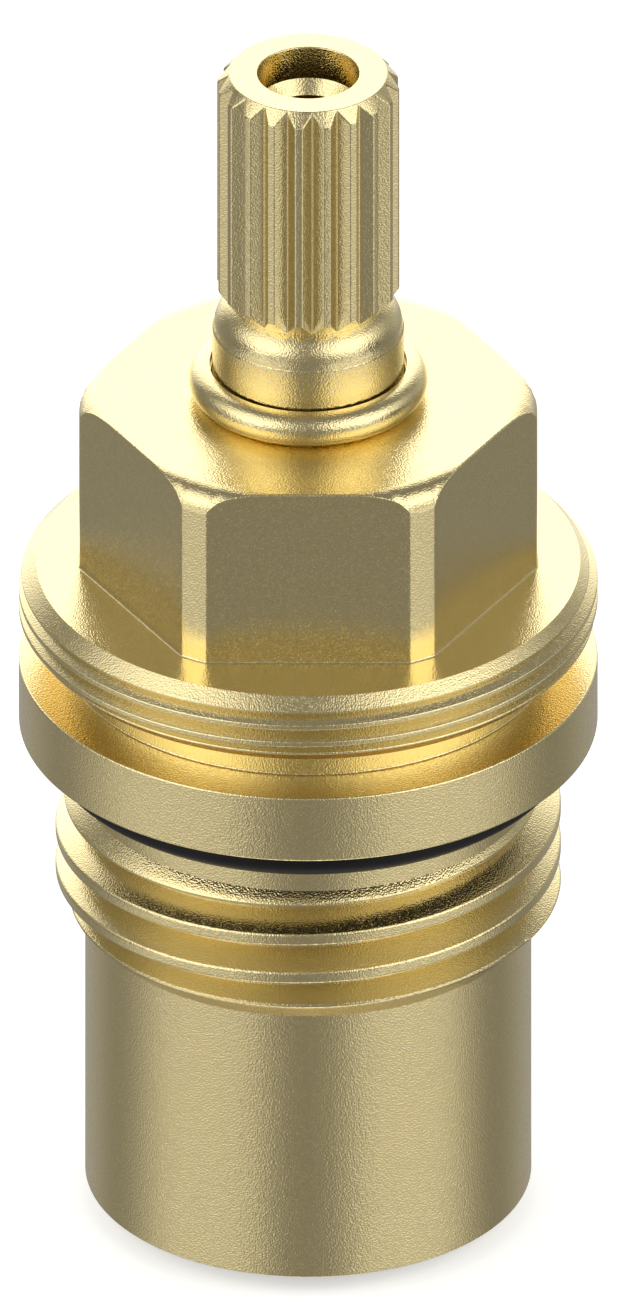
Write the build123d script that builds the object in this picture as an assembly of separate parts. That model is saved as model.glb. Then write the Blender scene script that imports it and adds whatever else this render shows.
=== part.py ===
from build123d import *
from math import cos, radians, sin, sqrt, tan
import os

# Ceramic disc tap cartridge, the headwork that turns a tap on and off in a quarter of a turn.
# A brass body screws into the tap. Its spindle turns one ceramic disc on another, and water
# passes when their ports line up. Millimetres, +Z up the spindle. The origin is the middle of
# the seat seal's lowest face, and the model stands closed: the spindle turns +90 degrees to open.

# Outside of the body, from the tube's lower end upwards
tube_diameter = 18.5
tube_length = 12.5
valve_thread_diameter = 20.955
valve_thread_length = 3.85
valve_thread_pitch = 1.814
valve_thread_depth = 1.162
valve_thread_flank_angle = 30.0
valve_thread_first_groove = 1.62
neck_diameter = 18.9
neck_length = 2.88
flange_diameter = 24.0
flange_thickness = 3.0
relief_diameter = 20.0
relief_width = 1.5
cover_thread_diameter = 24.0
cover_thread_length = 3.0
cover_thread_chamfer = 0.72
hexagon_across_flats = 17.0
hexagon_height = 8.03
hexagon_corner_reach = 1.0
hexagon_top_radius = 1.0
collar_wall = 0.9
collar_bead_radius = 0.75
collar_bead_sides = 12
collar_height = 1.46

# Inside of the body
disc_bore_diameter = 16.0
chamber_height = 5.6
stop_bore_diameter = 14.4
stop_zone_height = 2.4
stop_rib_angle = 45.0
window_height = 4.6
window_width = 13.0
window_corner_radius = 1.0
window_sill = 0.1
bore_mouth_chamfer = 0.3

# Spindle
journal_diameter = 7.96
journal_stand_out = 1.81
shoulder_radius = 1.5
stem_neck_diameter = 6.54
stem_neck_height = 0.22
spline_diameter = 7.58
spline_root_diameter = 6.68
spline_length = 10.04
spline_teeth = 20
spline_groove_angle = 90.0
spline_clocking = 3.0
spline_top_chamfer = 0.52
spline_top_chamfer_height = 0.59
screw_hole_diameter = 3.3
screw_hole_depth = 10.0
screw_lead_in_diameter = 4.22
screw_lead_in_depth = 1.47
screw_lead_in_slope = 53.0
drill_point_angle = 118.0
stop_collar_diameter = 11.0
shaft_diameter = 6.4
blade_width = 3.0
blade_depth = 1.45
blade_length = 14.0
turn_angle = 90.0

# Ceramic discs
disc_thickness = 2.8
port_inner_radius = 2.4
port_outer_radius = 5.2
port_angle = 80.0
port_corner_radius = 0.5
ear_width = 3.0
ear_length = 0.6
disc_chamfer = 0.2

# Seals and rings
seal_height = 2.7
seal_stand_out = 0.9
seal_inner_diameter = 12.0
seal_lip_diameter = 14.8
seal_lip_chamfer = 0.3
support_ring_wall = 0.7
support_ring_height = 2.1
flange_ring_section = 1.5
stem_ring_section = 1.24
stem_ring_spacing = 4.0
ring_section_sides = 8
stem_ring_groove_width = 1.7
lower_groove_height = 8.6
slip_washer_diameter = 11.2
slip_washer_thickness = 1.0
washer_chamfer = 0.15

# Clearances, each one between two faces
journal_clearance = 0.07
rib_clearance = 0.3
lug_clearance = 0.2
stop_clearance_angle = 0.5
disc_clearance = 0.1
rotating_disc_clearance = 0.4
grease_film = 0.02
ear_clearance = 0.05
blade_clearance = 0.05
washer_clearance = 0.1
axial_play = 0.05
ring_clearance = 0.02

# Radii that several pieces share
tube_radius = tube_diameter / 2
valve_thread_radius = valve_thread_diameter / 2
neck_radius = neck_diameter / 2
flange_radius = flange_diameter / 2
cover_thread_radius = cover_thread_diameter / 2
hexagon_corner_radius = hexagon_across_flats / 2 + hexagon_corner_reach
disc_bore_radius = disc_bore_diameter / 2
stop_bore_radius = stop_bore_diameter / 2
journal_radius = journal_diameter / 2
journal_bore_radius = journal_radius + journal_clearance
collar_radius = journal_bore_radius + collar_wall
stop_collar_radius = stop_collar_diameter / 2
shaft_radius = shaft_diameter / 2
spline_radius = spline_diameter / 2
spline_root_radius = spline_root_diameter / 2
stem_neck_radius = stem_neck_diameter / 2
fixed_disc_radius = disc_bore_radius - disc_clearance
ear_radius = fixed_disc_radius + ear_length
rotating_disc_radius = disc_bore_radius - rotating_disc_clearance

# Heights of the outside, stacked from the tube's lower end
tube_end_z = seal_stand_out
thread_start_z = tube_end_z + tube_length
thread_full_z = thread_start_z + valve_thread_radius - tube_radius
thread_end_z = thread_full_z + valve_thread_length
neck_z = thread_end_z + valve_thread_radius - neck_radius
flange_z = neck_z + neck_length
flange_top_z = flange_z + flange_thickness
cover_thread_z = flange_top_z + relief_width
hexagon_z = cover_thread_z + cover_thread_length
hexagon_top_z = hexagon_z + hexagon_height
collar_top_z = hexagon_top_z + collar_height

# Heights of the inside, stacked from the seat seal's lowest face
fixed_disc_z = seal_height
disc_joint_z = fixed_disc_z + disc_thickness
rotating_disc_z = disc_joint_z + grease_film
chamber_z = rotating_disc_z + disc_thickness
stop_zone_z = chamber_z + chamber_height
washer_z = stop_zone_z + stop_zone_height
shoulder_z = washer_z + slip_washer_thickness + axial_play

# Heights of the spindle
blade_z = chamber_z - blade_depth
stop_collar_z = stop_zone_z + axial_play
stop_collar_top_z = washer_z - axial_play
journal_top_z = collar_top_z + journal_stand_out
shoulder_arc_height = sqrt(shoulder_radius**2 - (stem_neck_radius - journal_radius + shoulder_radius)**2)
stem_neck_z = journal_top_z + shoulder_arc_height
spline_z = stem_neck_z + stem_neck_height + spline_radius - stem_neck_radius
spindle_top_z = spline_z + spline_length
lower_groove_z = shoulder_z + lower_groove_height
upper_groove_z = lower_groove_z + stem_ring_spacing

# Stops: two ribs in the body and two lugs on the spindle leave the turn and a clearance each end
lug_angle = 180 - stop_rib_angle - turn_angle - 2 * stop_clearance_angle
rib_clocking = -(stop_rib_angle / 2 + stop_clearance_angle + lug_angle / 2)
lug_radius = stop_bore_radius - lug_clearance
rib_inner_radius = stop_collar_radius + rib_clearance

through = 1.0  # how far a cutter runs past the face that it cuts


def turned(outline):
    """Solid of revolution about Z from a closed outline of radius and height."""
    return revolve(make_face(Plane.XZ * outline), Axis.Z)


def turned_points(*points):
    return turned(Polyline(*points, close=True))


def ring(outer_radius, inner_radius, low_z, high_z, chamfer_size=0.0):
    """Flat ring with square or chamfered outer corners."""
    corner = chamfer_size
    outline = [(inner_radius, low_z), (outer_radius - corner, low_z)]
    if corner:
        outline += [(outer_radius, low_z + corner), (outer_radius, high_z - corner)]
    else:
        outline += [(outer_radius, high_z)]
    outline += [(outer_radius - corner, high_z), (inner_radius, high_z)]
    return turned_points(*dict.fromkeys(outline))


def cylinder(radius, low_z, high_z):
    return Pos(0, 0, low_z) * extrude(Circle(radius), high_z - low_z)


def valve_thread_grooves():
    """Cutters for the valve thread: one level V groove to each turn, with the lead left out."""
    half_width = (valve_thread_depth + through) * tan(radians(valve_thread_flank_angle))
    vee = turned_points(
        (valve_thread_radius - valve_thread_depth, 0),
        (valve_thread_radius + through, -half_width),
        (valve_thread_radius + through, half_width),
    )
    first_z = thread_start_z + valve_thread_first_groove
    last_z = thread_end_z + valve_thread_pitch / 4
    turns = int((last_z - first_z) / valve_thread_pitch) + 1
    return [Pos(0, 0, first_z + valve_thread_pitch * turn) * vee for turn in range(turns)]


def sector(inner_radius, outer_radius, angle, clocking):
    """Flat ring sector, centred on the clocking angle."""
    start = radians(clocking - angle / 2)
    middle = radians(clocking)
    end = radians(clocking + angle / 2)

    def at(radius, direction):
        return (radius * cos(direction), radius * sin(direction))

    outer = ThreePointArc(at(outer_radius, start), at(outer_radius, middle), at(outer_radius, end))
    inner = ThreePointArc(at(inner_radius, end), at(inner_radius, middle), at(inner_radius, start))
    return make_face(outer + Line(outer @ 1, inner @ 0) + inner + Line(inner @ 1, outer @ 0))


def sector_pair(inner_radius, outer_radius, angle, clocking, low_z, high_z, corner_radius=0.0):
    """Two opposite sector blocks, with rounded upright corners where asked."""
    face = sector(inner_radius, outer_radius, angle, clocking)
    if corner_radius:
        face = fillet(face.vertices(), corner_radius)
    block = Pos(0, 0, low_z) * extrude(face, high_z - low_z)
    return block + Rot(0, 0, 180) * block


def ears(width, radius, low_z, high_z):
    """Bar across the tube along Y with round ends: the two ears, or the two slots for them."""
    bar = Rectangle(width, 2 * radius + through) & Circle(radius)
    return Pos(0, 0, low_z) * extrude(bar, high_z - low_z)


def o_ring(centre_radius, section, centre_z):
    """Seal ring whose section is squeezed flat against the walls of its groove."""
    outline = RegularPolygon(section / 2, ring_section_sides, major_radius=False)
    outline = Rot(0, 0, 180 / ring_section_sides) * outline
    return turned((Pos(centre_radius, centre_z) * outline).wire())


def make_body():
    """Brass body: the turned outside with its hexagon, bored and broached inside."""
    bead_centre = (collar_radius - collar_bead_radius, collar_top_z - collar_bead_radius)
    stem = turned_points(
        (0, tube_end_z),
        (tube_radius, tube_end_z),
        (tube_radius, thread_start_z),
        (valve_thread_radius, thread_full_z),
        (valve_thread_radius, thread_end_z),
        (neck_radius, neck_z),
        (neck_radius, flange_z),
        (flange_radius, flange_z),
        (flange_radius, flange_top_z),
        (relief_diameter / 2, flange_top_z),
        (relief_diameter / 2, cover_thread_z),
        (cover_thread_radius - cover_thread_chamfer, cover_thread_z),
        (cover_thread_radius, cover_thread_z + cover_thread_chamfer),
        (cover_thread_radius, hexagon_z - cover_thread_chamfer),
        (cover_thread_radius - cover_thread_chamfer, hexagon_z),
        (0, hexagon_z),
    )
    stem -= valve_thread_grooves()
    hexagon = RegularPolygon(hexagon_across_flats / 2, 6, major_radius=False)
    corner_round = cylinder(hexagon_corner_radius, hexagon_z, hexagon_top_z)
    corner_round = fillet(corner_round.edges().sort_by(Axis.Z)[-1], hexagon_top_radius)
    hexagon = (Pos(0, 0, hexagon_z) * extrude(hexagon, hexagon_height)) & corner_round
    bead = turned((Pos(*bead_centre) * RegularPolygon(collar_bead_radius, collar_bead_sides)).wire())
    bead_foot = cylinder(bead_centre[0], hexagon_top_z, bead_centre[1])

    disc_bore = cylinder(disc_bore_radius, tube_end_z - through, stop_zone_z)
    mouth = turned_points(
        (0, tube_end_z),
        (disc_bore_radius + bore_mouth_chamfer, tube_end_z),
        (disc_bore_radius, tube_end_z + bore_mouth_chamfer),
        (0, tube_end_z + bore_mouth_chamfer),
    )
    ear_slots = ears(
        ear_width + 2 * ear_clearance, ear_radius + disc_clearance, tube_end_z - through, rotating_disc_z
    )
    stop_bore = cylinder(stop_bore_radius, stop_zone_z, washer_z)
    ribs = sector_pair(
        rib_inner_radius, stop_bore_radius + through, stop_rib_angle, rib_clocking, stop_zone_z, washer_z
    )
    washer_seat = cylinder(slip_washer_diameter / 2 + washer_clearance, stop_zone_z, shoulder_z)
    journal_bore = cylinder(journal_bore_radius, stop_zone_z, collar_top_z + through)

    body = stem + hexagon + bead + bead_foot
    body -= disc_bore + mouth + ear_slots + (stop_bore - ribs) + washer_seat + journal_bore
    return body - outlet_window()


def outlet_window():
    """Cutter for the rounded window through the rear of the tube, where the water leaves."""
    face = RectangleRounded(window_width, window_height, window_corner_radius)
    middle_z = chamber_z + window_sill + window_height / 2
    return extrude(Plane.XZ.offset(-tube_diameter) * Pos(0, middle_z) * face, tube_diameter)


def make_spindle():
    """Brass spindle: stem turned with its seal grooves, then splined, lugged, bladed and drilled."""
    groove_floor = journal_bore_radius - stem_ring_section - 2 * ring_clearance
    half_groove = stem_ring_groove_width / 2
    arc_centre = (journal_radius - shoulder_radius, journal_top_z)
    arc_middle = radians(30)
    lower = Polyline(
        (stem_neck_radius, stem_neck_z),
        (stem_neck_radius, stem_neck_z + stem_neck_height),
        (spline_radius, spline_z),
        (spline_radius, spindle_top_z - spline_top_chamfer_height),
        (spline_radius - spline_top_chamfer, spindle_top_z),
        (0, spindle_top_z),
        (0, chamber_z + grease_film),
        (shaft_radius, chamber_z + grease_film),
        (shaft_radius, stop_collar_z),
        (stop_collar_radius, stop_collar_z),
        (stop_collar_radius, stop_collar_top_z),
        (journal_radius, stop_collar_top_z),
        (journal_radius, lower_groove_z - half_groove),
        (groove_floor, lower_groove_z - half_groove),
        (groove_floor, lower_groove_z + half_groove),
        (journal_radius, lower_groove_z + half_groove),
        (journal_radius, upper_groove_z - half_groove),
        (groove_floor, upper_groove_z - half_groove),
        (groove_floor, upper_groove_z + half_groove),
        (journal_radius, upper_groove_z + half_groove),
        (journal_radius, journal_top_z),
    )
    shoulder = ThreePointArc(
        lower @ 1,
        (
            arc_centre[0] + shoulder_radius * cos(arc_middle),
            arc_centre[1] + shoulder_radius * sin(arc_middle),
        ),
        lower @ 0,
    )
    spindle = turned(lower + shoulder)
    lugs = sector_pair(stop_collar_radius - through, lug_radius, lug_angle, 0, stop_collar_z, stop_collar_top_z)
    blade = (Rectangle(blade_length, blade_width) & Circle(blade_length / 2))
    blade = Pos(0, 0, blade_z) * extrude(blade, blade_depth)
    blade_root = cylinder(blade_width / 2, blade_z, chamber_z + through)
    spindle += [lugs, blade, blade_root]
    return spindle - spline_grooves() - screw_hole()


def spline_grooves():
    """All V grooves of the spline, cut from the top of the spindle down to the neck below it."""
    depth = spline_radius + through - spline_root_radius
    half_width = depth * sin(radians(spline_groove_angle / 2)) / cos(radians(spline_groove_angle / 2))
    vee = Polygon(
        (spline_root_radius, 0),
        (spline_radius + through, -half_width),
        (spline_radius + through, half_width),
        align=None,
    )
    low_z = stem_neck_z + stem_neck_height / 2
    cutter = Pos(0, 0, low_z) * extrude(vee, spindle_top_z + through - low_z)
    pitch = 360 / spline_teeth
    return [Rot(0, 0, spline_clocking + pitch * tooth) * cutter for tooth in range(spline_teeth)]


def screw_hole():
    """Cutter for the handle screw: plain lead-in, cone, threaded depth and drill point."""
    hole_radius = screw_hole_diameter / 2
    lead_in_radius = screw_lead_in_diameter / 2
    slope = radians(screw_lead_in_slope)
    cone_height = (lead_in_radius - hole_radius) * sin(slope) / cos(slope)
    point = radians(drill_point_angle / 2)
    lead_in_z = spindle_top_z - screw_lead_in_depth
    bottom_z = spindle_top_z - screw_hole_depth
    return turned_points(
        (0, spindle_top_z + through),
        (lead_in_radius, spindle_top_z + through),
        (lead_in_radius, lead_in_z),
        (hole_radius, lead_in_z - cone_height),
        (hole_radius, bottom_z),
        (0, bottom_z - hole_radius * cos(point) / sin(point)),
    )


def ports(clocking, low_z):
    return sector_pair(
        port_inner_radius,
        port_outer_radius,
        port_angle,
        clocking,
        low_z - through,
        low_z + disc_thickness + through,
        port_corner_radius,
    )


def make_rotating_disc():
    """Upper disc: ports across the blade slot, closed over the lower ports at rest."""
    disc = ring(rotating_disc_radius, 0, rotating_disc_z, chamber_z, disc_chamfer)
    slot = Rectangle(2 * rotating_disc_radius + through, blade_width + 2 * blade_clearance)
    slot_z = blade_z - blade_clearance
    slot = Pos(0, 0, slot_z) * extrude(slot, chamber_z + through - slot_z)
    return disc - slot - ports(90, rotating_disc_z)


def make_fixed_disc():
    """Lower disc, kept from turning by two ears in the slots of the tube."""
    disc = ring(fixed_disc_radius, 0, fixed_disc_z, disc_joint_z, disc_chamfer)
    return disc + ears(ear_width, ear_radius, fixed_disc_z, disc_joint_z) - ports(0, fixed_disc_z)


def make_seat_seal():
    """Rubber ring that fills the tube's mouth under the discs and stands out of it as a lip."""
    inner = seal_inner_diameter / 2
    lip = ring(seal_lip_diameter / 2, inner, 0, fixed_disc_z)
    lip = chamfer(lip.edges().group_by(Axis.Z)[0], seal_lip_chamfer)
    inside_z = tube_end_z + bore_mouth_chamfer
    collar = ring(fixed_disc_radius, inner, inside_z, fixed_disc_z)
    keys = ears(ear_width, ear_radius, inside_z, fixed_disc_z) - cylinder(inner, inside_z, fixed_disc_z)
    return lip + collar + keys


def make_support_ring():
    outer = seal_inner_diameter / 2 - ring_clearance
    return ring(outer, outer - support_ring_wall, fixed_disc_z - support_ring_height, fixed_disc_z)


def make_slip_washer():
    outer = slip_washer_diameter / 2
    return ring(outer, journal_bore_radius + washer_clearance, washer_z, shoulder_z - axial_play, washer_chamfer)


def make_flange_ring():
    offset = flange_ring_section / 2 + ring_clearance
    return o_ring(neck_radius + offset, flange_ring_section, flange_z - offset)


def make_stem_ring(centre_z):
    offset = stem_ring_section / 2 + ring_clearance
    return o_ring(journal_bore_radius - offset, stem_ring_section, centre_z)


pieces = {
    "headwork_body": make_body(),
    "spindle": make_spindle(),
    "rotating_disc": make_rotating_disc(),
    "fixed_disc": make_fixed_disc(),
    "seat_seal": make_seat_seal(),
    "seal_support_ring": make_support_ring(),
    "slip_washer": make_slip_washer(),
    "spindle_o_ring_lower": make_stem_ring(lower_groove_z),
    "spindle_o_ring_upper": make_stem_ring(upper_groove_z),
    "flange_o_ring": make_flange_ring(),
}

os.makedirs("parts", exist_ok=True)
for name, piece in pieces.items():
    export_step(piece, f"parts/{name}.step")
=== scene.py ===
import math

import bmesh
import bpy
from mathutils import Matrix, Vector


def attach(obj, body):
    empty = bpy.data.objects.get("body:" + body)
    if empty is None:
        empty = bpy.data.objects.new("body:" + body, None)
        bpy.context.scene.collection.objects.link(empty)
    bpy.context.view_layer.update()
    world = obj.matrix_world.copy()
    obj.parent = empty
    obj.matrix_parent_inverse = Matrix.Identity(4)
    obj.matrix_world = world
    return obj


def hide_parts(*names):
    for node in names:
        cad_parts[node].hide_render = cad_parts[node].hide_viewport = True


# The looks of a ceramic disc tap cartridge. Sizes are in millimetres up to the meshes, which are
# in metres. Heights count from the seat seal's lowest face, and angles run anticlockwise from +X.

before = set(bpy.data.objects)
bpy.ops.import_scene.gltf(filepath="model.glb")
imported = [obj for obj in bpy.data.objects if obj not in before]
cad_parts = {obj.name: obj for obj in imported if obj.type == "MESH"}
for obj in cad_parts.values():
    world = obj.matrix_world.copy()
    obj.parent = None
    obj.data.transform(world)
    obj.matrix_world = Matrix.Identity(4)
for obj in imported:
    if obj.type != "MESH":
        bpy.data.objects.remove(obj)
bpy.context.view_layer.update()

MM = 0.001
TINY = 1e-6
FRONT = -90.0  # the angle that faces the camera
MERGE = 2e-7  # metres; rows or columns that meet are closer than this

# Body outside, upwards from the tube's lower end
TUBE_END = 0.9
TUBE_R = 9.25
TUBE_LENGTH = 12.5
TUBE_TOP = TUBE_END + TUBE_LENGTH
VALVE_THREAD_R = 10.4775
VALVE_THREAD_LENGTH = 3.85
NECK_R = 9.45
NECK_Z = TUBE_TOP + (VALVE_THREAD_R - TUBE_R) + VALVE_THREAD_LENGTH + (VALVE_THREAD_R - NECK_R)
NECK_LENGTH = 2.88
FLANGE_Z = NECK_Z + NECK_LENGTH
FLANGE_R = 12.0
FLANGE_THICKNESS = 3.0
FLANGE_TOP = FLANGE_Z + FLANGE_THICKNESS
RELIEF_R = 10.0
RELIEF_WIDTH = 1.5
COVER_Z = FLANGE_TOP + RELIEF_WIDTH
COVER_R = 12.0
COVER_CHAMFER = 0.72
COVER_HEIGHT = 3.0
HEX_Z = COVER_Z + COVER_HEIGHT
HEX_FLAT_R = 8.5
HEX_CORNER_R = 9.5
HEX_TOP_ROUND = 1.0
HEX_HEIGHT = 8.03
HEX_TOP = HEX_Z + HEX_HEIGHT
COLLAR_HEIGHT = 1.46
COLLAR_TOP = HEX_TOP + COLLAR_HEIGHT
BEAD_R = 0.75
BEAD_CENTRE_R = 4.2
BEAD_Z = COLLAR_TOP - BEAD_R

# Body inside
DISC_BORE_R = 8.0
MOUTH_CHAMFER = 0.3
STOP_BORE_R = 7.2
RIB_R = 5.8
RIB_ANGLE = 45.0
RIB_CLOCKING = -45.0
WASHER_SEAT_R = 5.7
JOURNAL_BORE_R = 4.05
JOURNAL_MOUTH_R = 4.1
JOURNAL_MOUTH_DEPTH = 0.5
FIXED_DISC_Z = 2.7
DISC_JOINT_Z = 5.5
ROTATING_DISC_Z = 5.52
CHAMBER_Z = 8.32
STOP_ZONE_Z = 13.92
WASHER_Z = 16.32
SHOULDER_Z = 17.37
WINDOW_WIDTH = 13.0
WINDOW_SILL = 0.1
WINDOW_LOW = CHAMBER_Z + WINDOW_SILL
WINDOW_HEIGHT = 4.6
WINDOW_CORNER = 1.0
EAR_WIDTH = 3.0
EAR_R = 8.5
EAR_GAP = 0.05
EAR_END_GAP = 0.1

# Spindle
SHAFT_R = 3.2
SHAFT_GAP = 0.02
SHAFT_Z = CHAMBER_Z + SHAFT_GAP
STOP_COLLAR_R = 5.5
STOP_LUG_R = 7.0
STOP_LUG_ANGLE = 44.0
STOP_COLLAR_GAP = 0.05
STOP_COLLAR_Z = STOP_ZONE_Z + STOP_COLLAR_GAP
STOP_COLLAR_TOP = WASHER_Z - STOP_COLLAR_GAP
JOURNAL_R = 3.98
JOURNAL_RISE = 1.81
JOURNAL_TOP = COLLAR_TOP + JOURNAL_RISE
GROOVE_FLOOR_R = 2.77
GROOVE_HALF_WIDTH = 0.85
GROOVE_RISES = (8.6, 12.6)
GROOVE_HEIGHTS = tuple(SHOULDER_Z + rise for rise in GROOVE_RISES)
SHOULDER_ROUND = 1.5
SHOULDER_LIP = 0.055
SHOULDER_ARC_START = 3.0
SHOULDER_ARC_END = 57.0
STEM_NECK_R = 3.27
STEM_NECK_HEIGHT = 0.22
STEM_NECK_EDGE = 0.1
SPLINE_FOOT_SLOPE = 1.27
SPLINE_R = 3.79
SPLINE_ROOT_R = 3.34
SPLINE_TEETH = 20
SPLINE_GROOVE_ANGLE = 93.0
SPLINE_CLOCKING = 3.0
SPLINE_LENGTH = 10.04
SPLINE_TOP_CHAMFER = 0.52
SPLINE_TOP_CHAMFER_HEIGHT = 0.59
LEAD_IN_R = 2.11
LEAD_IN_DEPTH = 1.47
SCREW_HOLE_R = 1.65
SCREW_CONE_HEIGHT = 0.55
SCREW_HOLE_DEPTH = 10.0
DRILL_POINT_HEIGHT = 1.0
BLADE_REACH = 1.45
BLADE_Z = CHAMBER_Z - BLADE_REACH
BLADE_WIDTH = 3.0
BLADE_LENGTH = 14.0
BLADE_EDGE = 0.1

# Ceramic discs
ROTATING_DISC_GAP = 0.4
FIXED_DISC_GAP = 0.1
PORT_INNER_R = 2.4
PORT_OUTER_R = 5.2
PORT_ANGLE = 80.0
PORT_CORNER = 0.5
DISC_EDGE = 0.12

# Rings and seals; the section of a round ring is given as its radius
FLANGE_RING_SECTION = 0.75
STEM_RING_SECTION = 0.62
RING_GAP = 0.02
RING_SIDES = 24
SEAL_INNER_R = 6.0
SEAL_LIP_R = 7.4
SEAL_BORE_GAP = 0.1
SEAL_TOP_GAP = 0.01
SEAL_KEY_OVERLAP = 0.5
SEAL_KEY_EDGE = 0.12
SUPPORT_GAP = 0.02
SUPPORT_INNER_R = 5.28
SUPPORT_Z = 0.6
SUPPORT_EDGE = 0.1
WASHER_OUTER_R = 5.6
WASHER_INNER_R = 4.15
WASHER_THICKNESS = 1.0
WASHER_EDGE = 0.12

# Edge roundings, which show as fine bright lines
EDGE = 0.08
FINE_EDGE = 0.06
FAINT_EDGE = 0.03
THREAD_EDGE = 0.13
SPLINE_EDGE = 0.08
ROOT_EDGE = 0.05
EDGE_BAND = 0.09
EDGE_BAND_INSET = 0.06
EDGE_BAND_SLOPE = 1.8

# Fineness of the meshes, in steps or degrees
ROUND_STEPS = 3
BEVEL_SEGMENTS = 2
BODY_COLUMN_STEP = 2.0
RING_COLUMN_STEP = 3.0
PAIR_OFFSET = 0.05  # from an upright side to each of the two columns beside it

# Shading
SHARP_ANGLE = 36.0
NARROW = 0.06  # faces narrower than this are edges

VALVE_THREAD = {
    "crest_r": VALVE_THREAD_R,
    "depth": 1.162,
    "pitch": 1.814,
    "land": 0.455,
    "flank_angle": 27.5,
    "front_crest": 15.01 + TUBE_END,
    "zone": (TUBE_TOP, NECK_Z),
    "end_radii": (TUBE_R, NECK_R),
    "edge": THREAD_EDGE,
}
COVER_THREAD = {
    "crest_r": COVER_R,
    "depth": 0.47,
    "pitch": 0.8,
    "land": 0.19,
    "flank_angle": 33.0,
    "front_crest": 27.07 + TUBE_END,
    "zone": (COVER_Z, HEX_Z),
    "end_radii": (COVER_R - COVER_CHAMFER, COVER_R - COVER_CHAMFER),
    "edge": FINE_EDGE,
}

# Colours and finishes
BRASS = (0.87, 0.73, 0.385)
BRASS_ROUGHNESS = 0.2
BLAST_SIZE = 0.07
BLAST_DEPTH = 0.013
RUBBER = (0.006, 0.006, 0.006)
CERAMIC = (0.80, 0.79, 0.75)
ACETAL = (0.72, 0.72, 0.69)
WHITE = (1.0, 1.0, 1.0)
FLOOR = (0.9, 0.9, 0.9)
FLOOR_GLOW = 0.5

# Each light of the studio is a soft round patch of sky: azimuth from the front towards the right,
# elevation, angle from its middle that is fully lit, angle at which it has faded, and strength.
# A strength below zero darkens what the others light.
BASE_LIGHT = 0.05
STUDIO_LIGHTS = [
    # Dome over all but the lowest directions, with a slightly darker top
    (0, 90, 115, 145, 0.19),
    (0, 90, 5, 60, -0.02),
    # Large lights above the horizon, at both sides
    (53, 31, 0, 41, 1.5),
    (-42, 21, 6, 34, 0.5),
    (94, 26, 12, 25, 0.37),
    (-62, 32, 0, 43, 1.18),
    # Low lights at both sides
    (58, -55, 14, 46, 0.4),
    (-63, -58, 24, 46, 0.36),
    # Lights behind
    (-175, 17, 8, 48, 1.65),
    (180, -25, 15, 60, 0.16),
    (134, 3, 0, 24, 0.2),
    # Light from straight below, and the dark in front of it
    (0, -90, 4, 26, 0.9),
    (0, -66, 3, 22, -0.26),
    # Low strips at both sides
    (33, -15, 3, 16, 0.75),
    (-33, -15, 3, 16, 0.75),
    (54, -15, 3, 13, 0.85),
    (-54, -15, 3, 13, 0.85),
    (73, -16, 3, 12, 0.8),
    (-73, -16, 3, 12, 0.8),
    # Dark above the strips
    (40, 6, 2, 16, -0.4),
    (-40, 6, 2, 16, -0.5),
    (80, 5, 2, 16, -0.3),
    (-80, 5, 2, 16, -0.3),
]


def rounded(corners):
    """Outline points with each corner of a radius replaced by a short curve of fixed point count."""
    largest_share = 0.45
    points = []
    for index, (r, z, radius) in enumerate(corners):
        here = Vector((r, z))
        if not radius:
            points.append((r, z))
            continue
        before = Vector(corners[index - 1][:2]) - here
        after = Vector(corners[(index + 1) % len(corners)][:2]) - here
        reach = min(before.length, after.length) * largest_share
        if reach < TINY:
            points += [(r, z)] * (ROUND_STEPS + 1)
            continue
        half_turn = (math.pi - before.angle(after)) / 2
        reach = min(reach, radius * math.tan(half_turn))
        start = here + before.normalized() * reach
        end = here + after.normalized() * reach
        points += bent(start, here, end)
    return points


def bent(start, corner, end):
    """Arc from start to end, in line with the corner at both of its ends."""
    if (start - corner).length < TINY or (end - corner).length < TINY:
        return [tuple(corner)] * (ROUND_STEPS + 1)
    pull = math.sin((start - corner).angle(end - corner) / 2)
    curve = []
    for step in range(ROUND_STEPS + 1):
        s = step / ROUND_STEPS
        weights = ((1 - s) ** 2, 2 * s * (1 - s) * pull, s ** 2)
        point = start * weights[0] + corner * weights[1] + end * weights[2]
        curve.append(tuple(point / sum(weights)))
    return curve


def arc(centre_r, centre_z, radius, start, end, steps):
    """Points of a circular arc, between two angles in degrees."""
    angles = [math.radians(start + (end - start) * step / steps) for step in range(steps + 1)]
    return [(centre_r + radius * math.cos(a), centre_z + radius * math.sin(a)) for a in angles]


def new_object(name, bm):
    """Object from a bmesh in millimetres, with smooth faces and sharp edges over an angle."""
    bmesh.ops.scale(bm, vec=(MM, MM, MM), verts=bm.verts)
    bmesh.ops.remove_doubles(bm, verts=bm.verts, dist=MERGE)
    bmesh.ops.recalc_face_normals(bm, faces=bm.faces)
    mesh = bpy.data.meshes.new(name)
    bm.to_mesh(mesh)
    bm.free()
    mesh.shade_smooth()
    mesh.set_sharp_from_angle(angle=math.radians(SHARP_ANGLE))
    piece = bpy.data.objects.new(name, mesh)
    bpy.context.scene.collection.objects.link(piece)
    return piece


def turned_sheet(columns, outline_at, closed=True):
    """Bmesh of a turned form whose outline may change with the angle, one outline per column."""
    bm = bmesh.new()
    sheet = []
    for angle in columns:
        c = math.cos(math.radians(angle))
        s = math.sin(math.radians(angle))
        sheet.append([bm.verts.new((r * c, r * s, z)) for r, z in outline_at(angle)])
    rows = len(sheet[0])
    for left, right in zip(sheet, sheet[1:]):
        for row in range(rows if closed else rows - 1):
            above = (row + 1) % rows
            bm.faces.new((left[row], right[row], right[above], left[above]))
    return bm


def even_columns(step=BODY_COLUMN_STEP):
    """Angles all the way round, from the back to the back."""
    count = round(360 / step)
    return [90 - 360 + 360 * index / count for index in range(count + 1)]


def lathe(name, outline, step=BODY_COLUMN_STEP):
    return new_object(name, turned_sheet(even_columns(step), lambda angle: outline))


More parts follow.
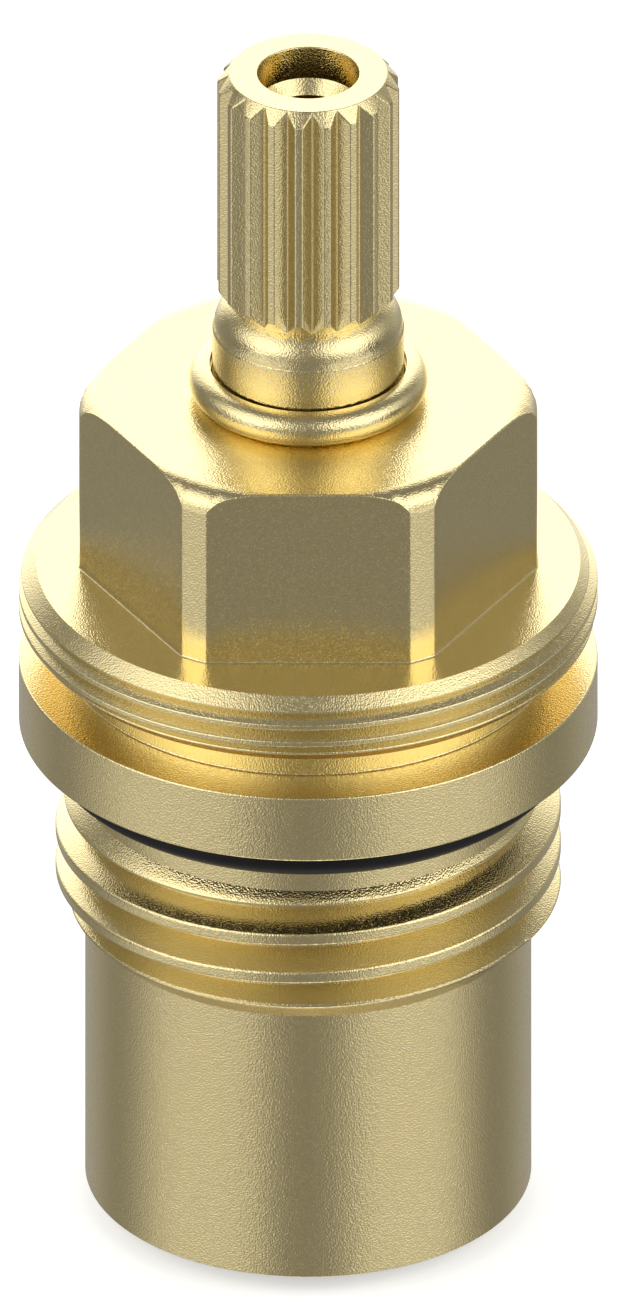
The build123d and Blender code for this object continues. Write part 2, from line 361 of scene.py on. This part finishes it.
def shade_turned(piece, kind_of):
    """Corner normals of a turned piece: an area-weighted mean of like faces that meet smoothly.

    A face's normal is first carried round the axis to the corner's angle, so that columns of
    unlike width leave no streaks, but a face of a flat side keeps its own. The narrow faces of an
    edge blend with nothing else, so that it shows as a crisp line.
    """
    least_across = 0.1
    mesh = piece.data
    faces = []
    for face in mesh.polygons:
        corners = [mesh.vertices[vertex].co for vertex in face.vertices]
        centre = face.center / MM
        normal = face.normal.copy()
        angle = math.atan2(centre.y, centre.x)
        across = abs(normal.y * math.cos(angle) - normal.x * math.sin(angle))
        width = face.area / MM / max((corners[i] - corners[i - 1]).length for i in range(len(corners)))
        kind = "edge" if width < NARROW else kind_of(centre, normal)
        flat = across > least_across or kind == "flat"
        faces.append((normal, angle, face.area, flat, kind))
    around = [[] for _ in mesh.vertices]
    for face in mesh.polygons:
        for vertex in face.vertices:
            around[vertex].append(face.index)
    limit = math.cos(math.radians(SHARP_ANGLE))
    normals = []
    for face in mesh.polygons:
        own, _, _, _, own_kind = faces[face.index]
        for vertex in face.vertices:
            point = mesh.vertices[vertex].co
            here = math.atan2(point.y, point.x)
            total = Vector()
            for index in around[vertex]:
                normal, angle, area, flat, kind = faces[index]
                if own.dot(normal) < limit or kind != own_kind:
                    continue
                turn = 0.0 if flat else here - angle
                c = math.cos(turn)
                s = math.sin(turn)
                total += area * Vector((normal.x * c - normal.y * s, normal.x * s + normal.y * c, normal.z))
            normals.append(total.normalized())
    mesh.normals_split_custom_set(normals)


def from_flat_middle(angle):
    """Angle in degrees from the middle of the nearest of the hexagon's flats."""
    return (angle - FRONT + 30) % 60 - 30


def body_kind(centre, normal):
    """Flat for the faces of the hexagon's sides."""
    steep = 0.7
    nearness = 0.1
    if not HEX_Z < centre.z < HEX_TOP or abs(normal.z) > steep:
        return "turned"
    turn = from_flat_middle(math.degrees(math.atan2(centre.y, centre.x)))
    off_flat = math.hypot(centre.x, centre.y) * math.cos(math.radians(turn)) - HEX_FLAT_R
    return "flat" if abs(off_flat) < nearness else "turned"


def spindle_kind(centre, normal):
    """Edge for the bands at the journal's edge and under the spline's chamfer."""
    lowest, highest = 0.4, 0.6
    near_hole_r = LEAD_IN_R + 0.5
    if not lowest < normal.z < highest or math.hypot(centre.x, centre.y) < near_hole_r:
        return "turned"
    at_journal = JOURNAL_TOP - EDGE_BAND < centre.z < JOURNAL_TOP
    at_chamfer = centre.z > JOURNAL_TOP + SPLINE_LENGTH / 2
    return "edge" if at_journal or at_chamfer else "turned"


def thread_rows(thread, angle):
    """Outline of a right-hand thread in one column, cut back to its chamfered blank."""
    halvings = 24
    edge = thread["edge"]
    pitch = thread["pitch"]
    crest_r = thread["crest_r"]
    root_r = crest_r - thread["depth"]
    low, high = thread["zone"]
    low_r, high_r = thread["end_radii"]
    half_land = thread["land"] / 2
    half_base = half_land + thread["depth"] * math.tan(math.radians(thread["flank_angle"]))
    first = math.floor((low - thread["front_crest"]) / pitch) - 1
    last = math.ceil((high - thread["front_crest"]) / pitch) + 1

    def blank(z):
        return min(crest_r, low_r + (z - low), high_r + (high - z))

    def floor(z):
        fade = (z - (high - (crest_r - high_r))) / (crest_r - high_r)
        return root_r + max(0.0, fade) * max(0.0, high_r - root_r)

    def inside(z, r):
        z = min(max(z, low), high)
        return (min(max(r, floor(z)), blank(z)), z)

    def cut(base_z, crest_z):
        """The crest corner, slid down its flank to the blank where the chamfer took it away."""
        if crest_r <= blank(crest_z) or root_r >= blank(base_z):
            return inside(crest_z, crest_r)
        near, far = 0.0, 1.0
        for _ in range(halvings):
            middle = (near + far) / 2
            z = base_z + (crest_z - base_z) * middle
            if root_r + (crest_r - root_r) * middle < blank(z):
                near = middle
            else:
                far = middle
        z = base_z + (crest_z - base_z) * near
        return inside(z, root_r + (crest_r - root_r) * near)

    corners = [low + crest_r - low_r, high - crest_r + high_r]
    rows = []
    for tooth in range(first, last + 1):
        crest = thread["front_crest"] + (tooth + (angle - FRONT) / 360) * pitch
        lower = cut(crest - half_base, crest - half_land)
        upper = cut(crest + half_base, crest + half_land)
        between = [z for z in corners if lower[1] < z < upper[1]]
        top_z = between[0] if between else (lower[1] + upper[1]) / 2
        rows += rounded([
            inside(crest - half_base, root_r) + (0,),
            lower + (edge,),
            inside(top_z, crest_r) + (edge,),
            upper + (edge,),
            inside(crest + half_base, root_r) + (0,),
        ])
    return rows


def hexagon_radius(angle):
    """Distance of the hexagon's wall from the axis, with the corners turned round."""
    return min(HEX_FLAT_R / math.cos(math.radians(from_flat_middle(angle))), HEX_CORNER_R)


def hexagon_rows(angle):
    """Wall of the hexagon and its rounded top, which meet in a curved edge on each flat."""
    radius = hexagon_radius(angle)
    centre_z = HEX_TOP - HEX_TOP_ROUND
    centre_r = HEX_CORNER_R - HEX_TOP_ROUND
    start = math.acos(min(1.0, (radius - centre_r) / HEX_TOP_ROUND))
    edge_z = centre_z + HEX_TOP_ROUND * math.sin(start)
    reach = EDGE * math.tan(start / 2)

    def over(distance):
        """Point on the rounded top, at a distance from its edge."""
        turn = start + distance / HEX_TOP_ROUND
        if turn < math.pi / 2:
            return (centre_r + HEX_TOP_ROUND * math.cos(turn), centre_z + HEX_TOP_ROUND * math.sin(turn))
        return (centre_r - (turn - math.pi / 2) * HEX_TOP_ROUND, HEX_TOP)

    rows = bent(Vector((radius + EDGE, HEX_Z)), Vector((radius, HEX_Z)), Vector((radius, HEX_Z + EDGE)))
    rows += bent(Vector((radius, edge_z - reach)), Vector((radius, edge_z)), Vector(over(reach)))
    whole = (math.pi / 2 - start) * HEX_TOP_ROUND + EDGE
    steps = 8
    rows += [over(reach + (max(whole, reach) - reach) * step / steps) for step in range(1, steps + 1)]
    return rows


def in_pair(angle, clocking, width):
    """Whether an angle lies in one of two opposite sectors."""
    return abs((angle - clocking + 90) % 180 - 90) < width / 2


def body_outline(angle):
    relief = [
        (NECK_R, FLANGE_Z - 1, 0),
        (NECK_R, FLANGE_Z, EDGE),
        (FLANGE_R, FLANGE_Z, EDGE),
        (FLANGE_R, FLANGE_TOP, EDGE),
        (RELIEF_R, FLANGE_TOP, EDGE),
        (RELIEF_R, COVER_Z, EDGE),
        (RELIEF_R + 1, COVER_Z, 0),
    ]
    bead_foot = math.degrees(math.asin((HEX_TOP - BEAD_Z) / BEAD_R))
    bead_mouth = math.degrees(math.acos((JOURNAL_MOUTH_R - BEAD_CENTRE_R) / BEAD_R))
    bead_steps = 20
    stop_r = RIB_R if in_pair(angle, RIB_CLOCKING, RIB_ANGLE) else STOP_BORE_R
    inside = [
        (JOURNAL_MOUTH_R, COLLAR_TOP - JOURNAL_MOUTH_DEPTH),
        (JOURNAL_BORE_R, COLLAR_TOP - JOURNAL_MOUTH_DEPTH),
        (JOURNAL_BORE_R, SHOULDER_Z),
        (WASHER_SEAT_R, SHOULDER_Z),
        (WASHER_SEAT_R, WASHER_Z),
        (stop_r, WASHER_Z),
        (stop_r, STOP_ZONE_Z),
        (DISC_BORE_R, STOP_ZONE_Z),
        (DISC_BORE_R, TUBE_END + MOUTH_CHAMFER),
        (DISC_BORE_R + MOUTH_CHAMFER, TUBE_END),
    ]
    tube = [(TUBE_R - EDGE, TUBE_END, 0), (TUBE_R, TUBE_END, EDGE), (TUBE_R, TUBE_TOP - EDGE, 0)]
    return (
        rounded(tube)
        + thread_rows(VALVE_THREAD, angle)
        + rounded(relief)
        + thread_rows(COVER_THREAD, angle)
        + hexagon_rows(angle)
        + arc(BEAD_CENTRE_R, BEAD_Z, BEAD_R, bead_foot, bead_mouth, bead_steps)
        + inside
    )


def body_columns():
    """Even columns, but with a close pair at each upright edge of the hexagon and side of a rib."""
    crease = math.degrees(math.acos(HEX_FLAT_R / HEX_CORNER_R))
    creases = [FRONT + 60 * flat + side * crease for flat in range(-3, 4) for side in (-1, 1)]
    half_edge = 0.25
    clear = 1.2
    columns = [a for a in even_columns() if all(abs(a - c) > clear for c in creases)]
    columns += [c + side * half_edge for c in creases for side in (-1, 1)]
    ribs = [RIB_CLOCKING + 180 * turn + side * RIB_ANGLE / 2 for turn in (-1, 0) for side in (-1, 1)]
    columns += [rib + side * PAIR_OFFSET for rib in ribs for side in (-1, 1)]
    even = even_columns()
    return sorted(a for a in columns if even[0] <= a <= even[-1])


def block(low, high):
    """Box as a bmesh, in millimetres."""
    bm = bmesh.new()
    bmesh.ops.create_cube(bm, size=1.0)
    for vert in bm.verts:
        vert.co = [low[i] + (high[i] - low[i]) * (vert.co[i] + 0.5) for i in range(3)]
    return bm


def solid_between(low, high):
    """Bmesh of the solid between two loops of as many points."""
    bm = bmesh.new()
    base = [bm.verts.new(point) for point in low]
    top = [bm.verts.new(point) for point in high]
    bm.faces.new(base[::-1])
    bm.faces.new(top)
    for index in range(len(base)):
        after = (index + 1) % len(base)
        bm.faces.new((base[index], base[after], top[after], top[index]))
    return bm


def prism(outline, low_z, high_z):
    """Upright prism over an outline of x and y."""
    return solid_between([(x, y, low_z) for x, y in outline], [(x, y, high_z) for x, y in outline])


def bevel_all(bm, width):
    """Rounds every edge of a bmesh."""
    edges = bm.edges[:]
    bmesh.ops.bevel(bm, geom=edges, offset=width, segments=BEVEL_SEGMENTS, affect="EDGES", profile=0.5)


def bar_outline(width, radius, along_x):
    """Bar through the axis, with its ends round about the axis."""
    half_angle = math.degrees(math.asin(width / 2 / radius))
    steps = 10
    points = []
    for end in (0, 180):
        turn = end + (0 if along_x else 90)
        points += arc(0, 0, radius, turn - half_angle, turn + half_angle, steps)
    return points


def window_outline():
    """Rounded rectangle of x and z."""
    half_w = WINDOW_WIDTH / 2 - WINDOW_CORNER
    half_h = WINDOW_HEIGHT / 2 - WINDOW_CORNER
    middle = WINDOW_LOW + WINDOW_HEIGHT / 2
    corners = [(half_w, half_h), (-half_w, half_h), (-half_w, -half_h), (half_w, -half_h)]
    steps = 6
    points = []
    for corner, (x, z) in enumerate(corners):
        points += arc(x, middle + z, WINDOW_CORNER, 90 * corner, 90 * corner + 90, steps)
    return points


def cut_away(piece, cutters):
    """Cuts other meshes out of a piece for good."""
    for cutter in cutters:
        modifier = piece.modifiers.new("cut", "BOOLEAN")
        modifier.operation = "DIFFERENCE"
        modifier.solver = "EXACT"
        modifier.object = cutter
    bpy.context.view_layer.update()
    graph = bpy.context.evaluated_depsgraph_get()
    mesh = bpy.data.meshes.new_from_object(piece.evaluated_get(graph))
    piece.modifiers.clear()
    piece.data = mesh
    for cutter in cutters:
        bpy.data.objects.remove(cutter)


def make_body():
    body = new_object("body_brass_turning", turned_sheet(body_columns(), body_outline))
    outline = window_outline()
    window = solid_between([(x, 0.0, z) for x, z in outline], [(x, 2 * TUBE_R, z) for x, z in outline])
    slot_outline = bar_outline(EAR_WIDTH + 2 * EAR_GAP, EAR_R + EAR_END_GAP, False)
    slots = prism(slot_outline, TUBE_END - 1, ROTATING_DISC_Z)
    cut_away(body, [new_object("window_cutter", window), new_object("slot_cutter", slots)])
    shade_turned(body, body_kind)
    return body


def spline_columns():
    """Angle and radius of each column: the section's corners, rounded, with V grooves between lands."""
    stride = 0.01
    slope = math.tan(math.radians(SPLINE_GROOVE_ANGLE / 2))
    half_groove = 0.0
    flank = SPLINE_ROOT_R
    while flank < SPLINE_R:
        half_groove += stride
        turn = math.radians(half_groove)
        flank = slope * SPLINE_ROOT_R / (slope * math.cos(turn) - math.sin(turn))
    side = math.radians(half_groove)
    groove = [
        (-side, SPLINE_R, SPLINE_EDGE),
        (0, SPLINE_ROOT_R, ROOT_EDGE),
        (side, SPLINE_R, SPLINE_EDGE),
    ]
    pitch = 360 / SPLINE_TEETH
    corners = []
    for tooth in range(SPLINE_TEETH):
        middle = math.radians(SPLINE_CLOCKING + pitch * tooth)
        for turn, radius, edge in groove:
            corners.append((radius * math.cos(middle + turn), radius * math.sin(middle + turn), edge))
    columns = []
    for x, y in rounded(corners):
        angle = math.degrees(math.atan2(y, x))
        columns.append((angle % 360, min(math.hypot(x, y), SPLINE_R)))
    columns.sort()
    columns.append((columns[0][0] + 360, columns[0][1]))
    return columns


def spindle_columns():
    """The spline's columns, with a close pair at each side of the stop lugs."""
    columns = spline_columns()
    half_lug = STOP_LUG_ANGLE / 2
    lug_sides = [half_lug, 180 - half_lug, 180 + half_lug, 360 - half_lug]
    extra = []
    for place in [lug + side * PAIR_OFFSET for lug in lug_sides for side in (-1, 1)]:
        index = max(i for i, column in enumerate(columns) if column[0] < place)
        (left, left_r), (right, right_r) = columns[index:index + 2]
        across = left_r * right_r * math.sin(math.radians(right - left))
        left_share = left_r * math.sin(math.radians(place - left))
        right_share = right_r * math.sin(math.radians(right - place))
        extra.append((place, across / (left_share + right_share)))
    return sorted(columns + extra)


def spindle_outline(angle, radius):
    collar_r = STOP_LUG_R if in_pair(angle, 0, STOP_LUG_ANGLE) else STOP_COLLAR_R
    lower = [
        (0, SHAFT_Z),
        (SHAFT_R, SHAFT_Z),
        (SHAFT_R, STOP_COLLAR_Z),
        (collar_r, STOP_COLLAR_Z),
        (collar_r, STOP_COLLAR_TOP),
        (JOURNAL_R, STOP_COLLAR_TOP),
    ]
    for height in GROOVE_HEIGHTS:
        lower += [
            (JOURNAL_R, height - GROOVE_HALF_WIDTH),
            (GROOVE_FLOOR_R, height - GROOVE_HALF_WIDTH),
            (GROOVE_FLOOR_R, height + GROOVE_HALF_WIDTH),
            (JOURNAL_R, height + GROOVE_HALF_WIDTH),
        ]
    lower += [(JOURNAL_R, JOURNAL_TOP - EDGE_BAND), (JOURNAL_R - SHOULDER_LIP, JOURNAL_TOP)]
    arc_centre = JOURNAL_R - SHOULDER_LIP - SHOULDER_ROUND
    arc_span = (SHOULDER_ARC_START, SHOULDER_ARC_END)
    shoulder_steps = 16
    shoulder = arc(arc_centre, JOURNAL_TOP, SHOULDER_ROUND, *arc_span, shoulder_steps)
    whole_arc = math.sqrt(SHOULDER_ROUND ** 2 - (STEM_NECK_R - JOURNAL_R + SHOULDER_ROUND) ** 2)
    spline_z = JOURNAL_TOP + whole_arc + STEM_NECK_HEIGHT + SPLINE_R - STEM_NECK_R
    end_r, end_z = shoulder[-1]
    slope = 1 / math.tan(math.radians(SHOULDER_ARC_END))
    foot_z = spline_z - SPLINE_FOOT_SLOPE * (SPLINE_R - end_r)
    neck_r = end_r - (foot_z - end_z) / (SPLINE_FOOT_SLOPE + slope)
    neck_z = end_z + slope * (end_r - neck_r)
    top_z = spline_z + SPLINE_LENGTH
    top_edge_r = SPLINE_R - SPLINE_TOP_CHAMFER
    chamfer_slope = SPLINE_TOP_CHAMFER_HEIGHT / SPLINE_TOP_CHAMFER
    hole_z = top_z - LEAD_IN_DEPTH
    chamfer_z = top_z - (radius - top_edge_r) * chamfer_slope
    band_top_z = chamfer_z + EDGE_BAND_INSET * chamfer_slope
    upper = rounded([
        (end_r, end_z, 0),
        (neck_r, neck_z, STEM_NECK_EDGE),
        (radius, spline_z - SPLINE_FOOT_SLOPE * (SPLINE_R - radius), FAINT_EDGE),
        (radius, band_top_z - EDGE_BAND_INSET * EDGE_BAND_SLOPE, 0),
        (radius - EDGE_BAND_INSET, band_top_z, 0),
        (top_edge_r, top_z, FINE_EDGE),
        (LEAD_IN_R, top_z, FINE_EDGE),
        (LEAD_IN_R, hole_z, 0),
        (SCREW_HOLE_R, hole_z - SCREW_CONE_HEIGHT, FAINT_EDGE),
        (SCREW_HOLE_R, top_z - SCREW_HOLE_DEPTH, 0),
        (0, top_z - SCREW_HOLE_DEPTH - DRILL_POINT_HEIGHT, 0),
    ])
    return lower + shoulder[:-1] + upper


def join(piece, others):
    """Adds other pieces' meshes to a piece."""
    bm = bmesh.new()
    bm.from_mesh(piece.data)
    for other in others:
        bm.from_mesh(other.data)
        bpy.data.objects.remove(other)
    bm.to_mesh(piece.data)
    bm.free()
    piece.data.set_sharp_from_angle(angle=math.radians(SHARP_ANGLE))


def make_spindle():
    section = dict(spindle_columns())
    sheet = turned_sheet(section, lambda angle: spindle_outline(angle, section[angle]), closed=False)
    spindle = new_object("spindle_splined_stem", sheet)
    overlap = 0.01
    blade = prism(bar_outline(BLADE_WIDTH, BLADE_LENGTH / 2, True), BLADE_Z, SHAFT_Z + overlap)
    bevel_all(blade, BLADE_EDGE)
    join(spindle, [new_object("blade", blade)])
    shade_turned(spindle, spindle_kind)
    return spindle


def ring_outline(outer, inner, low, high, edge):
    """Section of a flat ring with its four corners rounded."""
    return rounded([(inner, low, edge), (outer, low, edge), (outer, high, edge), (inner, high, edge)])


def make_o_ring(name, centre_r, section_r, height):
    last = 360 - 360 / RING_SIDES
    return lathe(name, arc(centre_r, height, section_r, 0, last, RING_SIDES - 1), RING_COLUMN_STEP)


def port_outline(clocking):
    """Ring sector with rounded corners: each corner's circle touches the arc and the side."""
    half = PORT_ANGLE / 2
    outer_r = PORT_OUTER_R - PORT_CORNER
    inner_r = PORT_INNER_R + PORT_CORNER
    outer = half - math.degrees(math.asin(PORT_CORNER / outer_r))
    inner = half - math.degrees(math.asin(PORT_CORNER / inner_r))

    def corner(radius, place, start, end):
        a = math.radians(place + clocking)
        centre = (radius * math.cos(a), radius * math.sin(a))
        return arc(*centre, PORT_CORNER, start + clocking, end + clocking, 5)

    def rim(radius, start, end, steps):
        return arc(0, 0, radius, start + clocking, end + clocking, steps)[1:-1]

    return (
        corner(outer_r, -outer, -half - 90, -outer)
        + rim(PORT_OUTER_R, -outer, outer, 12)
        + corner(outer_r, outer, outer, half + 90)
        + corner(inner_r, inner, half + 90, inner + 180)
        + rim(PORT_INNER_R, inner, -inner, 8)
        + corner(inner_r, -inner, -inner + 180, -half + 270)
    )


def port_cutters(clocking, low, high):
    ports = [prism(port_outline(clocking + turn), low - 1, high + 1) for turn in (0, 180)]
    return [new_object("port_cutter", port) for port in ports]


def soften(piece, width):
    """Small bevel on the sharp edges of a cut piece, whose big faces keep their flat shading."""
    sharp = 50
    bevel = piece.modifiers.new("edges", "BEVEL")
    bevel.width = width * MM
    bevel.segments = BEVEL_SEGMENTS
    bevel.limit_method = "ANGLE"
    bevel.angle_limit = math.radians(sharp)
    weighted = piece.modifiers.new("weighted", "WEIGHTED_NORMAL")
    weighted.keep_sharp = True


def make_rotating_disc():
    radius = DISC_BORE_R - ROTATING_DISC_GAP
    outline = [(0, ROTATING_DISC_Z), (radius, ROTATING_DISC_Z), (radius, CHAMBER_Z), (0, CHAMBER_Z)]
    sheet = turned_sheet(even_columns(RING_COLUMN_STEP), lambda angle: outline, closed=False)
    disc = new_object("upper_ceramic_disc", sheet)
    half_slot = BLADE_WIDTH / 2 + EAR_GAP
    reach = DISC_BORE_R + 1
    slot = block((-reach, -half_slot, BLADE_Z - EAR_GAP), (reach, half_slot, CHAMBER_Z + 1))
    cut_away(disc, [new_object("slot_cutter", slot)] + port_cutters(90, ROTATING_DISC_Z, CHAMBER_Z))
    soften(disc, DISC_EDGE)
    return disc


def make_fixed_disc():
    radius = DISC_BORE_R - FIXED_DISC_GAP
    half_gap = math.degrees(math.asin(EAR_WIDTH / 2 / radius))
    half_ear = math.degrees(math.asin(EAR_WIDTH / 2 / EAR_R))
    points = []
    for turn in (90, 270):
        points += arc(0, 0, EAR_R, turn - half_ear, turn + half_ear, 8)
        points += arc(0, 0, radius, turn + half_gap, turn + 180 - half_gap, 60)
    disc = new_object("lower_ceramic_disc", prism(points, FIXED_DISC_Z, DISC_JOINT_Z))
    cut_away(disc, port_cutters(0, FIXED_DISC_Z, DISC_JOINT_Z))
    soften(disc, DISC_EDGE)
    return disc


def make_seat_seal():
    inside_z = TUBE_END + MOUTH_CHAMFER
    outer = DISC_BORE_R - SEAL_BORE_GAP
    top_z = FIXED_DISC_Z - SEAL_TOP_GAP
    outline = rounded([
        (SEAL_INNER_R, 0, 0.25),
        (SEAL_LIP_R, 0, 0.3),
        (SEAL_LIP_R, inside_z, 0.1),
        (outer, inside_z, 0.15),
        (outer, top_z, 0.1),
        (SEAL_INNER_R, top_z, 0.1),
    ])
    seal = lathe("seat_seal_ring", outline)
    keys = []
    for side in (1, -1):
        low_y, high_y = sorted((side * (outer - SEAL_KEY_OVERLAP), side * EAR_R))
        key = block((-EAR_WIDTH / 2, low_y, inside_z), (EAR_WIDTH / 2, high_y, top_z))
        bevel_all(key, SEAL_KEY_EDGE)
        keys.append(new_object("key", key))
    join(seal, keys)
    return seal


def colour(rgb):
    return tuple(rgb) + (1.0,)


def grain(nodes, links, shader, size, depth, detail=3.0):
    """Fine surface grain as bump, of a size and depth in millimetres."""
    place = nodes.new("ShaderNodeTexCoord")
    noise = nodes.new("ShaderNodeTexNoise")
    noise.inputs["Scale"].default_value = 1 / (size * MM)
    noise.inputs["Detail"].default_value = detail
    noise.inputs["Roughness"].default_value = 0.5
    bump = nodes.new("ShaderNodeBump")
    bump.inputs["Strength"].default_value = 1.0
    bump.inputs["Distance"].default_value = depth * MM
    links.new(place.outputs["Object"], noise.inputs["Vector"])
    links.new(noise.outputs["Fac"], bump.inputs["Height"])
    links.new(bump.outputs["Normal"], shader.inputs["Normal"])


def new_material(name, rgb, roughness):
    material = bpy.data.materials.new(name)
    material.use_nodes = True
    nodes = material.node_tree.nodes
    shader = nodes["Principled BSDF"]
    shader.inputs["Base Color"].default_value = colour(rgb)
    shader.inputs["Roughness"].default_value = roughness
    return material, nodes, material.node_tree.links, shader


def brass(name):
    material, nodes, links, shader = new_material(name, BRASS, BRASS_ROUGHNESS)
    shader.inputs["Metallic"].default_value = 1.0
    grain(nodes, links, shader, BLAST_SIZE, BLAST_DEPTH, detail=0.0)
    return material


def plain(name, rgb, roughness, grain_size, grain_depth, specular=0.5):
    material, nodes, links, shader = new_material(name, rgb, roughness)
    shader.inputs["Specular IOR Level"].default_value = specular
    grain(nodes, links, shader, grain_size, grain_depth)
    return material


def dress(piece, material, body, node):
    """Gives a piece its finish, puts it under the body it moves with and hides the CAD node it stands for.
    """
    piece.data.materials.clear()
    piece.data.materials.append(material)
    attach(piece, body)
    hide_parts(node)


rubber = plain("black_rubber", RUBBER, roughness=0.5, grain_size=0.2, grain_depth=0.004, specular=0.25)
ceramic = plain("lapped_ceramic", CERAMIC, roughness=0.28, grain_size=0.3, grain_depth=0.001)
acetal = plain("white_acetal", ACETAL, roughness=0.45, grain_size=0.4, grain_depth=0.002)

dress(make_body(), brass("blasted_brass_body"), "headwork", "headwork_body")
dress(make_spindle(), brass("blasted_brass_spindle"), "stem", "spindle")
dress(make_rotating_disc(), ceramic, "control_disc", "rotating_disc")
dress(make_fixed_disc(), ceramic, "headwork", "fixed_disc")
dress(make_seat_seal(), rubber, "headwork", "seat_seal")
support_r = SEAL_INNER_R - SUPPORT_GAP
support_section = ring_outline(support_r, SUPPORT_INNER_R, SUPPORT_Z, FIXED_DISC_Z, SUPPORT_EDGE)
support = lathe("seal_support", support_section)
dress(support, acetal, "headwork", "seal_support_ring")
washer_top = WASHER_Z + WASHER_THICKNESS
washer_section = ring_outline(WASHER_OUTER_R, WASHER_INNER_R, WASHER_Z, washer_top, WASHER_EDGE)
washer = lathe("spindle_slip_washer", washer_section)
dress(washer, acetal, "headwork", "slip_washer")
stem_ring_r = JOURNAL_BORE_R - RING_GAP - STEM_RING_SECTION
for name, height in zip(("lower", "upper"), GROOVE_HEIGHTS):
    o_ring = make_o_ring("stem_ring_" + name, stem_ring_r, STEM_RING_SECTION, height)
    dress(o_ring, rubber, "stem", "spindle_o_ring_" + name)
flange_offset = FLANGE_RING_SECTION + RING_GAP
flange_ring_r = NECK_R + flange_offset
flange_ring_z = FLANGE_Z - flange_offset
flange_ring = make_o_ring("flange_seal_ring", flange_ring_r, FLANGE_RING_SECTION, flange_ring_z)
dress(flange_ring, rubber, "headwork", "flange_o_ring")


def world_light():
    """Studio light by direction: soft patches on a smooth base, the same in every view."""
    world = bpy.data.worlds.new("studio")
    bpy.context.scene.world = world
    world.use_nodes = True
    nodes = world.node_tree.nodes
    links = world.node_tree.links
    background = nodes["Background"]
    direction = nodes.new("ShaderNodeTexCoord").outputs["Generated"]

    def patch(azimuth, elevation, inner, outer, strength):
        a = math.radians(azimuth)
        e = math.radians(elevation)
        dot = nodes.new("ShaderNodeVectorMath")
        dot.operation = "DOT_PRODUCT"
        dot.inputs[1].default_value = (math.sin(a) * math.cos(e), -math.cos(a) * math.cos(e), math.sin(e))
        links.new(direction, dot.inputs[0])
        fall = nodes.new("ShaderNodeMapRange")
        fall.interpolation_type = "SMOOTHSTEP"
        fall.inputs["From Min"].default_value = math.cos(math.radians(outer))
        fall.inputs["From Max"].default_value = math.cos(math.radians(inner))
        fall.inputs["To Min"].default_value = 0.0
        fall.inputs["To Max"].default_value = strength
        links.new(dot.outputs["Value"], fall.inputs["Value"])
        return fall.outputs["Result"]

    patches = [patch(*light) for light in STUDIO_LIGHTS]
    total = None
    for value in patches:
        add = nodes.new("ShaderNodeMath")
        add.operation = "ADD"
        if total is None:
            add.inputs[0].default_value = BASE_LIGHT
        else:
            links.new(total, add.inputs[0])
        links.new(value, add.inputs[1])
        total = add.outputs["Value"]
    lit = nodes.new("ShaderNodeMath")
    lit.operation = "MAXIMUM"
    lit.inputs[1].default_value = 0.0
    links.new(total, lit.inputs[0])
    links.new(lit.outputs["Value"], background.inputs["Strength"])
    background.inputs["Color"].default_value = colour(WHITE)


def make_floor():
    """Pale floor that shows white to the camera beside its soft shadow."""
    half_width = 2000
    drop = 0.02
    bm = bmesh.new()
    bmesh.ops.create_grid(bm, x_segments=1, y_segments=1, size=half_width)
    floor = new_object("floor", bm)
    material, nodes, links, shader = new_material("pale_floor", FLOOR, roughness=0.9)
    shader.inputs["Specular IOR Level"].default_value = 0.0
    shader.inputs["Emission Color"].default_value = colour(WHITE)
    ray = nodes.new("ShaderNodeLightPath")
    seen = nodes.new("ShaderNodeMath")
    seen.operation = "MAXIMUM"
    links.new(ray.outputs["Is Camera Ray"], seen.inputs[0])
    links.new(ray.outputs["Is Transmission Ray"], seen.inputs[1])
    level = nodes.new("ShaderNodeMath")
    level.operation = "MULTIPLY"
    level.inputs[1].default_value = FLOOR_GLOW
    links.new(seen.outputs["Value"], level.inputs[0])
    links.new(level.outputs["Value"], shader.inputs["Emission Strength"])
    floor.data.materials.append(material)
    floor.location.z = -drop * MM
    floor.visible_glossy = False


def make_camera():
    """Parallel view from above the front, framed as the photograph."""
    px_per_mm = 24.12
    image_height = 1310
    axis_x = 307.75
    image_middle_x = 310.5
    aim_height = 24.458 + TUBE_END
    # The camera's own distances are in metres
    distance = 0.4
    nearest, farthest = 0.01, 10
    aim = Vector(((image_middle_x - axis_x) / px_per_mm * MM, 0, aim_height * MM))
    elevation = math.radians(30)
    back = Vector((0, -math.cos(elevation), math.sin(elevation)))
    data = bpy.data.cameras.new("camera")
    data.type = "ORTHO"
    data.ortho_scale = image_height / px_per_mm * MM
    data.clip_start = nearest
    data.clip_end = farthest
    camera = bpy.data.objects.new("camera", data)
    camera.location = aim + back * distance
    camera.rotation_euler = back.to_track_quat("Z", "Y").to_euler()
    bpy.context.scene.collection.objects.link(camera)
    bpy.context.scene.camera = camera


world_light()
make_floor()
make_camera()
bpy.context.scene.view_settings.view_transform = "Standard"
